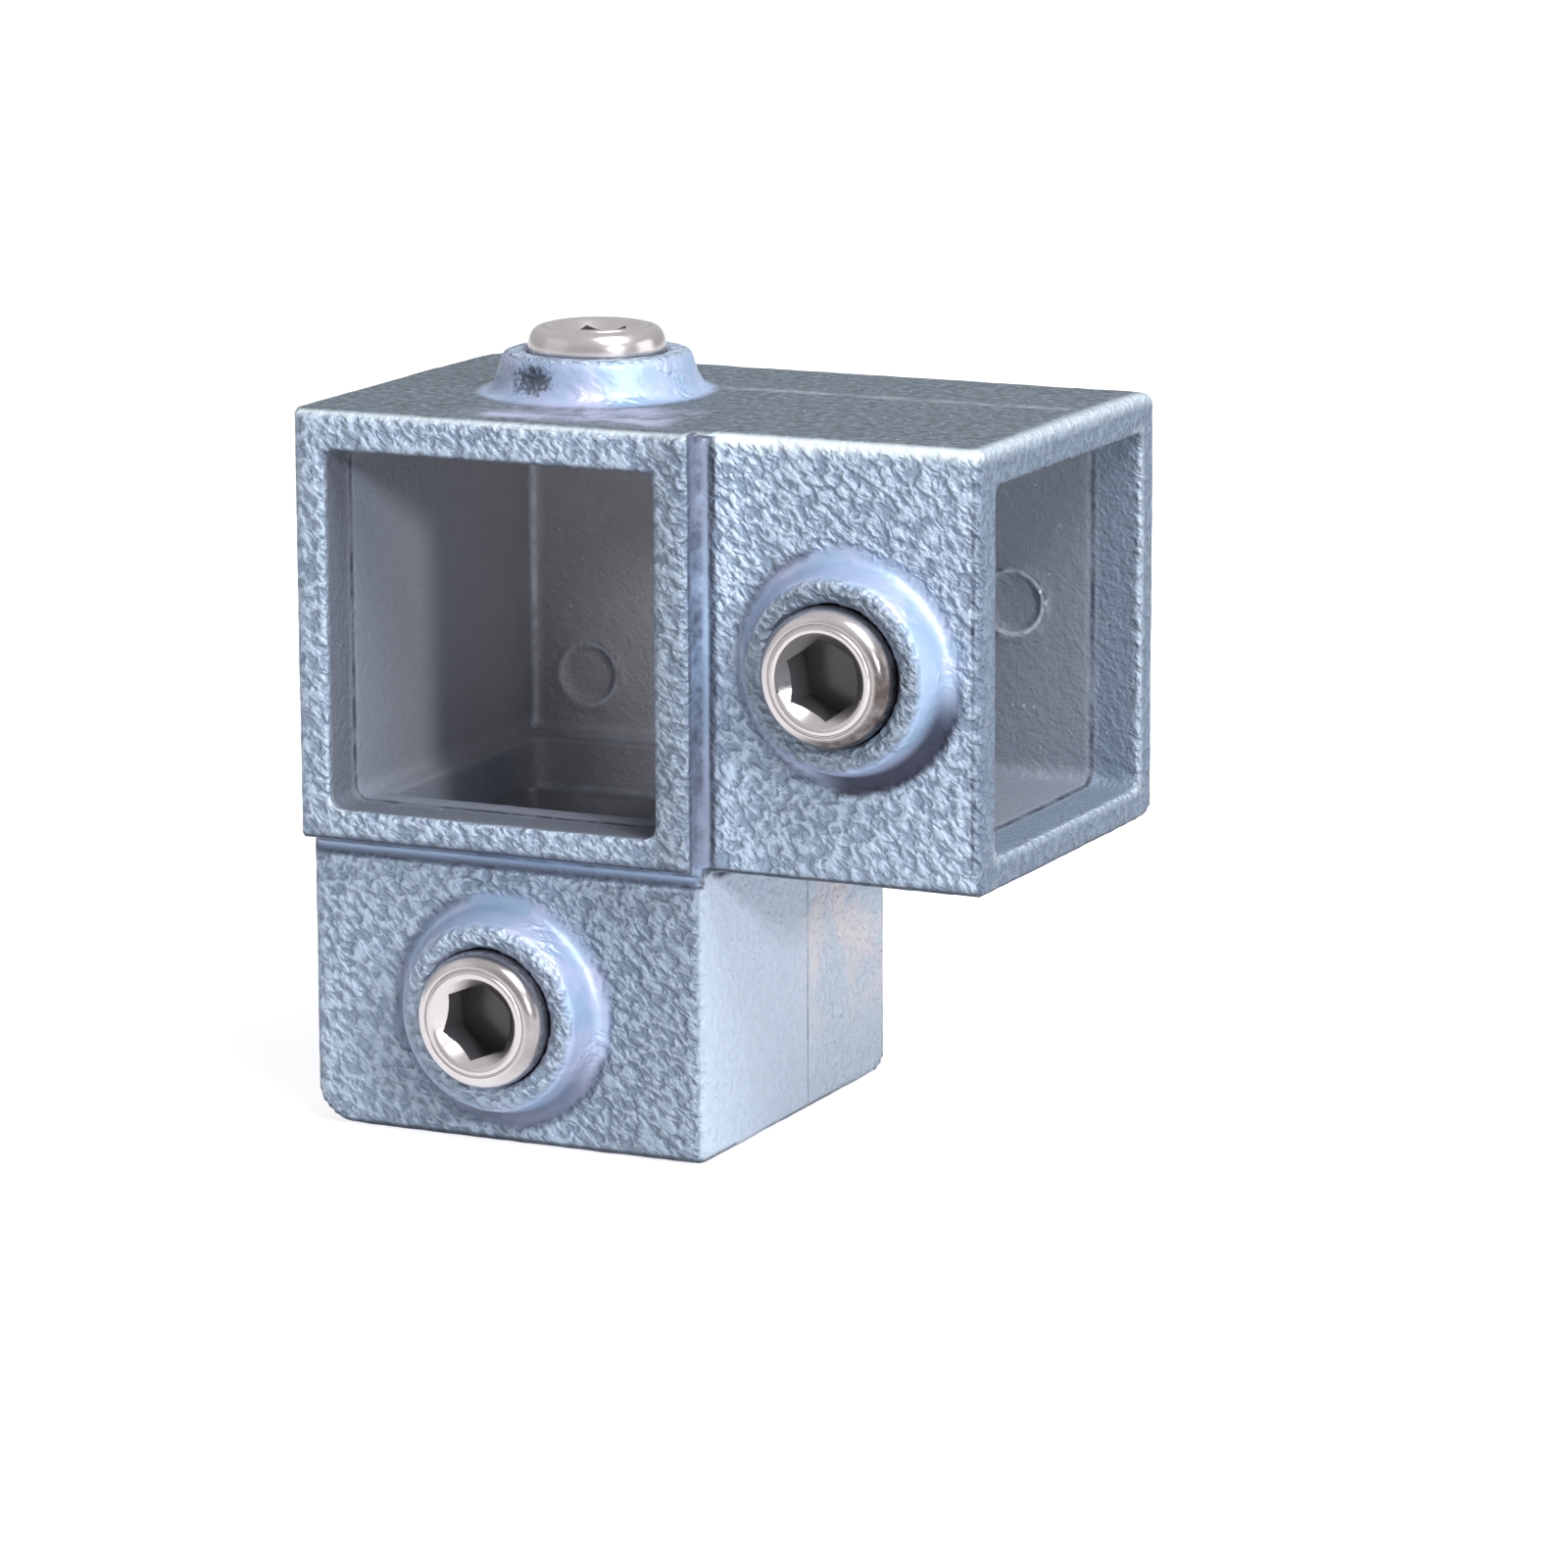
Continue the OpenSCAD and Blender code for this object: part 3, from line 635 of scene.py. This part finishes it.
def stainless_steel(look):
    """Stainless steel, turned and polished: bright, a little warm, with faint fine bumps."""
    material, tree, shader = new_material("turned_stainless_steel")
    coords = add_node(tree, "ShaderNodeTexCoord").outputs["Object"]
    haze = add_node(tree, "ShaderNodeTexNoise", {
        "Vector": coords, "Scale": 1 / (2.4 * MM), "Detail": 3.0, "Roughness": 0.6,
    }).outputs["Fac"]
    # Painted shade in the keyway and a painted dark reflection on one side of each shoulder.
    depth = add_node(tree, "ShaderNodeAttribute", attribute_name="keyway").outputs["Fac"]
    dark_reflection = add_node(tree, "ShaderNodeAttribute", attribute_name="dark_reflection").outputs["Fac"]
    thick = add_node(tree, "ShaderNodeMapRange", {
        "Value": haze, "From Min": 0.3, "From Max": 0.6, "To Min": 0.6, "To Max": 0.95,
    }).outputs["Result"]
    dark_reflection = add_node(tree, "ShaderNodeMath", {0: dark_reflection, 1: thick}, operation="MULTIPLY").outputs[0]
    steel = add_node(tree, "ShaderNodeMix", {0: dark_reflection, 6: (*look.steel, 1), 7: (*look.dark_reflection, 1)}, data_type="RGBA")
    steel = add_node(tree, "ShaderNodeMix", {0: depth, 6: steel.outputs[2], 7: (*look.keyway_shade, 1)}, data_type="RGBA")
    rough = add_node(tree, "ShaderNodeMapRange", {"Value": haze, "To Min": 0.16, "To Max": 0.3})
    metal = add_node(tree, "ShaderNodeMapRange", {"Value": depth, "To Min": 1.0, "To Max": 0.2})
    scratch = add_node(tree, "ShaderNodeTexNoise", {
        "Vector": coords, "Scale": 1 / (0.5 * MM), "Detail": 2.0,
    }).outputs["Fac"]
    bump = add_node(tree, "ShaderNodeBump", {"Strength": 0.25, "Distance": 0.02 * MM, "Height": scratch})
    for name, value in (("Base Color", steel.outputs[2]), ("Roughness", rough.outputs["Result"]),
                        ("Metallic", metal.outputs["Result"]), ("Normal", bump.outputs["Normal"])):
        tree.links.new(value, shader.inputs[name])
    return material


def turned_body(look):
    """The screw as it leaves the lathe, with its end at the origin and its tip below, as a bmesh."""
    radius, end = look.diameter / 2, -look.step
    core = radius - THREAD_DEPTH * look.pitch
    groove = 0.2 * MM
    drill = look.key_flats / 2 - 0.1 * MM
    body = bmesh.new()
    outline = [
        (0, -look.long), (core - 0.5 * MM, -look.long), (core, 0.5 * MM - look.long), (core, -look.plain - 1.0 * MM),
        (radius, -look.plain), (radius, end - look.shoulder), (radius, end), (look.lip + 0.1 * MM, end),
        (look.lip - 0.05 * MM, end - groove), (look.lip - 0.1 * MM, end - groove), (look.lip - 0.3 * MM, 0),
        (look.countersink, 0), (drill, drill - look.countersink), (0, drill - look.countersink),
    ]
    points = [body.verts.new((r, 0, z)) for r, z in outline]
    for a, b in zip(points, points[1:]):
        body.edges.new((a, b))
    # The shoulder takes nearly the whole of both edges at its corner, so its round is taller than it is wide.
    bmesh.ops.bevel(body, geom=[points[6]], offset=97, offset_type="PERCENT", affect="VERTICES", segments=12,
                    profile=0.5, material=-1)
    for corner, size in ((points[10], 0.25 * MM), (points[11], 0.4 * MM), (points[4], 0.3 * MM)):
        bmesh.ops.bevel(body, geom=[corner], offset=size, offset_type="OFFSET", affect="VERTICES", segments=4,
                        profile=0.5, material=-1)
    bmesh.ops.spin(body, geom=body.verts[:] + body.edges[:], cent=(0, 0, 0), axis=(0, 0, 1), dvec=(0, 0, 0),
                   angle=2 * math.pi, steps=look.sides, use_merge=True, use_duplicate=False)
    bmesh.ops.remove_doubles(body, verts=body.verts, dist=0.001 * MM)
    bmesh.ops.recalc_face_normals(body, faces=body.faces)
    return body


def thread_ridge(look):
    """The ridge of the thread, wound around the screw's core, as a bmesh."""
    radius = look.diameter / 2 - 0.03 * MM
    root = look.diameter / 2 - 0.65 * look.pitch
    run_in = 0.9 * MM
    start = run_in - look.long
    ridge = bmesh.new()
    flank, flat = 0.46 * look.pitch, 0.07 * look.pitch
    section = [ridge.verts.new((r, 0, start + z)) for r, z in (
        (root, -flank), (radius, -flat), (radius, flat), (root, flank))]
    for a, b in zip(section, section[1:] + section[:1]):
        ridge.edges.new((a, b))
    turns = (look.long - look.plain - run_in) / look.pitch
    steps = round(turns * TURN_STEPS)
    bmesh.ops.spin(ridge, geom=ridge.verts[:] + ridge.edges[:], cent=(0, 0, 0), axis=(0, 0, 1),
                   dvec=(0, 0, look.pitch / TURN_STEPS), angle=2 * math.pi * steps / TURN_STEPS, steps=steps,
                   use_merge=False, use_duplicate=False)
    for point in ridge.verts:
        rise = min(1.0, max(0.0, (point.co.z - start) / look.pitch + 0.3))
        out = math.hypot(point.co.x, point.co.y)
        keep = (root + (out - root) * rise) / out
        point.co.x *= keep
        point.co.y *= keep
    bmesh.ops.holes_fill(ridge, edges=ridge.edges, sides=4)
    bmesh.ops.recalc_face_normals(ridge, faces=ridge.faces)
    return ridge


def hex_key(look, turn):
    """A hex key that reaches as deep as the keyway, as a bmesh."""
    key = bmesh.new()
    across = look.key_flats / math.sqrt(3)
    made = bmesh.ops.create_cone(key, cap_ends=True, cap_tris=False, segments=6, radius1=across, radius2=across,
                                 depth=look.key_depth + 2 * MM)
    # The cone's first corner lies on +Y, and the solid's on +X.
    bmesh.ops.rotate(key, verts=made["verts"], cent=(0, 0, 0),
                     matrix=Matrix.Rotation(math.radians(turn - 90), 3, "Z"))
    bmesh.ops.translate(key, verts=made["verts"], vec=(0, 0, MM - look.key_depth / 2))
    return key


def as_object(shape, name):
    """An object in the scene that holds a bmesh, which is then freed."""
    mesh = bpy.data.meshes.new(name)
    shape.to_mesh(mesh)
    shape.free()
    made = bpy.data.objects.new(name, mesh)
    bpy.context.scene.collection.objects.link(made)
    return made


def set_screw(node, body, way, turn, look, steel):
    """One set screw with its thread and its hex keyway, in place of its solid."""
    piece = as_object(turned_body(look), node.replace("_set_screw", "_polished_screw"))
    key = as_object(hex_key(look, turn), "hex_key")
    cut = piece.modifiers.new("keyway", "BOOLEAN")
    cut.operation = "DIFFERENCE"
    cut.solver = "EXACT"
    cut.object = key
    made = bpy.data.meshes.new_from_object(piece.evaluated_get(bpy.context.evaluated_depsgraph_get()))
    piece.modifiers.clear()
    piece.data = made
    bpy.data.objects.remove(key)
    shape = bmesh.new()
    shape.from_mesh(made)
    ridge = thread_ridge(look)
    ridge_mesh = bpy.data.meshes.new("thread")
    ridge.to_mesh(ridge_mesh)
    ridge.free()
    shape.from_mesh(ridge_mesh)
    keyway = shape.faces.layers.float.new("keyway")
    # The keyway's walls and floor are painted dark as painted shade, and so is the upper part of the right screw's
    # countersink.
    for face in shape.faces:
        at = face.calc_center_median()
        if math.hypot(at.x, at.y) < look.countersink:
            wall = abs(face.normal.z) < 0.3 or at.z < -2 * MM
            keyway_shade = body == "right_screw" and at.y > -0.35 * math.hypot(at.x, at.y)
            face[keyway] = 1.0 if wall else 0.95 * keyway_shade
    # A painted dark reflection on one side of the shoulder and low on its side, near the boss.
    dark_reflection = shape.verts.layers.float.new("dark_reflection")
    middle, most = SCREW_DARK_REFLECTION[body]
    for point in shape.verts:
        out = math.hypot(point.co.x, point.co.y)
        if out > look.lip:
            turned = math.cos(math.atan2(point.co.y, point.co.x) - math.radians(middle))
            low = min(1.0, max(0.0, turned * 1.5)) * min(1.0, (out - look.lip) / (0.5 * MM))
            edge = 0.8 * min(1.0, max(0.0, (-point.co.z / MM - 1.3) / 0.8))
            point[dark_reflection] = most * max(low, edge)
    bmesh.ops.transform(shape, matrix=screw_place(node, way), verts=shape.verts)
    shape.to_mesh(made)
    shape.free()
    made.shade_smooth()
    made.set_sharp_from_angle(angle=math.radians(32))
    made.materials.clear()
    made.materials.append(steel)
    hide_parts(node)
    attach(piece, body)
    return piece


class TUBECORNER_OT_casting(bpy.types.Operator):
    """Make the galvanised casting"""

    bl_idname = "tube_corner.casting"
    bl_label = "Casting"
    bl_options = {"REGISTER", "UNDO"}

    def execute(self, context):
        look = context.scene.tube_corner_casting
        skin = even_skin(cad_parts["corner_casting"], look.mesh_step)
        if len(skin.data.polygons) < FEWEST_FACES:
            raise RuntimeError("the casting's skin didn't close")
        cast_surface(skin, look)
        skin.data.materials.clear()
        skin.data.materials.append(galvanised_iron(look))
        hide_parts("corner_casting")
        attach(skin, "casting")
        return {"FINISHED"}


class TUBECORNER_OT_screws(bpy.types.Operator):
    """Make the three set screws"""

    bl_idname = "tube_corner.screws"
    bl_label = "Set Screws"
    bl_options = {"REGISTER", "UNDO"}

    def execute(self, context):
        look = context.scene.tube_corner_screws
        steel = stainless_steel(look)
        for node, body, way, turn in SCREWS:
            set_screw(node, body, way, turn, look, steel)
        return {"FINISHED"}


class TUBECORNER_OT_stage(bpy.types.Operator):
    """Make the floor, the light and the camera"""

    bl_idname = "tube_corner.stage"
    bl_label = "Stage"
    bl_options = {"REGISTER", "UNDO"}

    def execute(self, context):
        scene, look = context.scene, context.scene.tube_corner_stage
        scene.view_settings.view_transform = "Standard"

        sheet = bmesh.new()
        bmesh.ops.create_circle(sheet, cap_ends=True, segments=96, radius=9.0)
        bmesh.ops.translate(sheet, verts=sheet.verts, vec=(0, 0, -0.05 * MM))
        floor = as_object(sheet, "studio_floor")
        material, tree, shader = new_material("pale_studio_floor")
        shader.inputs["Base Color"].default_value = (*look.floor, 1)
        shader.inputs["Roughness"].default_value = 0.9
        shader.inputs["Specular IOR Level"].default_value = 0.0
        shader.inputs["Emission Color"].default_value = (1, 1, 1, 1)
        path = add_node(tree, "ShaderNodeLightPath")
        seen = add_node(tree, "ShaderNodeMath", {
            0: path.outputs["Is Camera Ray"], 1: path.outputs["Is Glossy Ray"]}, operation="MAXIMUM")
        seen = add_node(tree, "ShaderNodeMath", {
            0: seen.outputs[0], 1: path.outputs["Is Transmission Ray"]}, operation="MAXIMUM")
        glow = add_node(tree, "ShaderNodeMath", {0: seen.outputs[0], 1: look.glow}, operation="MULTIPLY")
        tree.links.new(glow.outputs[0], shader.inputs["Emission Strength"])
        floor.data.materials.append(material)

        world = bpy.data.worlds.new("studio_room")
        scene.world = world
        world.use_nodes = True
        tree = world.node_tree
        tree.nodes.clear()
        path = add_node(tree, "ShaderNodeLightPath")
        way = add_node(tree, "ShaderNodeTexCoord").outputs["Generated"]
        way = add_node(tree, "ShaderNodeSeparateXYZ", {"Vector": way})
        above = add_node(tree, "ShaderNodeMapRange", {
            "Value": way.outputs["Z"], "From Min": 0.05, "From Max": 0.65,
            "To Min": look.mirrored, "To Max": look.overhead})
        level = add_node(tree, "ShaderNodeMix", {
            0: path.outputs["Is Glossy Ray"], 2: look.ambient, 3: above.outputs["Result"]})
        level = add_node(tree, "ShaderNodeMix", {
            0: path.outputs["Is Camera Ray"], 2: level.outputs[0], 3: 1.0})
        room = add_node(tree, "ShaderNodeBackground", {"Color": (1, 1, 1, 1), "Strength": level.outputs[0]})
        add_node(tree, "ShaderNodeOutputWorld", {"Surface": room.outputs[0]})

        aim = Vector((0.016, 0, 0.045))
        for name, place, size, power in (
            ("key_lamp", (0.86, -0.52, 0.33), 0.1, look.key),
            ("sky_lamp", (0.62, -0.32, 1.0), 0.6, look.sky),
            ("side_lamp", (1.0, 0.5, 0.2), 0.7, look.side),
            ("fill_lamp", (-0.9, -0.75, 0.4), 1.0, look.fill),
        ):
            lamp = bpy.data.lights.new(name, "AREA")
            lamp.size = size
            lamp.energy = power
            stand = bpy.data.objects.new(name, lamp)
            stand.location = place
            stand.rotation_euler = (aim - Vector(place)).to_track_quat("-Z", "Y").to_euler()
            scene.collection.objects.link(stand)

        lens = bpy.data.cameras.new("camera")
        lens.lens = look.lens
        lens.sensor_width = 36
        lens.clip_start, lens.clip_end = 0.01, 50
        camera = bpy.data.objects.new("camera", lens)
        scene.collection.objects.link(camera)
        ahead = Vector((-math.sin(look.yaw) * math.cos(look.pitch), math.cos(look.yaw) * math.cos(look.pitch),
                        -math.sin(look.pitch)))
        flat = Vector((math.cos(look.yaw), math.sin(look.yaw), 0))
        above = flat.cross(ahead)
        across = math.cos(look.roll) * flat + math.sin(look.roll) * above
        above = -math.sin(look.roll) * flat + math.cos(look.roll) * above
        turned = Matrix((across, above, -ahead)).transposed().to_4x4()
        # The part's middle lies a little left of the picture's middle and above it.
        middle, right_by, down_by = Vector((17.5, -3, 41.5)), 6.705, 1.839
        eye = middle * MM + across * right_by * MM - above * down_by * MM - ahead * look.distance
        camera.matrix_world = Matrix.Translation(eye) @ turned
        scene.camera = camera
        return {"FINISHED"}


class TUBECORNER_PT_panel(bpy.types.Panel):
    """The pieces of the connector"""

    bl_label = "Tube Corner"
    bl_idname = "TUBECORNER_PT_panel"
    bl_space_type = "VIEW_3D"
    bl_region_type = "UI"
    bl_category = "Tube Corner"

    def draw(self, context):
        for operator, settings in (
            (TUBECORNER_OT_casting, context.scene.tube_corner_casting),
            (TUBECORNER_OT_screws, context.scene.tube_corner_screws),
            (TUBECORNER_OT_stage, context.scene.tube_corner_stage),
        ):
            box = self.layout.box()
            box.operator(operator.bl_idname)
            for name in settings.__annotations__:
                box.prop(settings, name)


CLASSES = (
    CastingSettings, ScrewSettings, StageSettings, TUBECORNER_OT_casting, TUBECORNER_OT_screws,
    TUBECORNER_OT_stage, TUBECORNER_PT_panel,
)


def register():
    for made in CLASSES:
        bpy.utils.register_class(made)
    bpy.types.Scene.tube_corner_casting = PointerProperty(type=CastingSettings)
    bpy.types.Scene.tube_corner_screws = PointerProperty(type=ScrewSettings)
    bpy.types.Scene.tube_corner_stage = PointerProperty(type=StageSettings)


def unregister():
    del bpy.types.Scene.tube_corner_casting
    del bpy.types.Scene.tube_corner_screws
    del bpy.types.Scene.tube_corner_stage
    for made in reversed(CLASSES):
        bpy.utils.unregister_class(made)


def main():
    register()
    bpy.ops.tube_corner.stage()
    bpy.ops.tube_corner.casting()
    bpy.ops.tube_corner.screws()


if __name__ == "__main__":
    main()
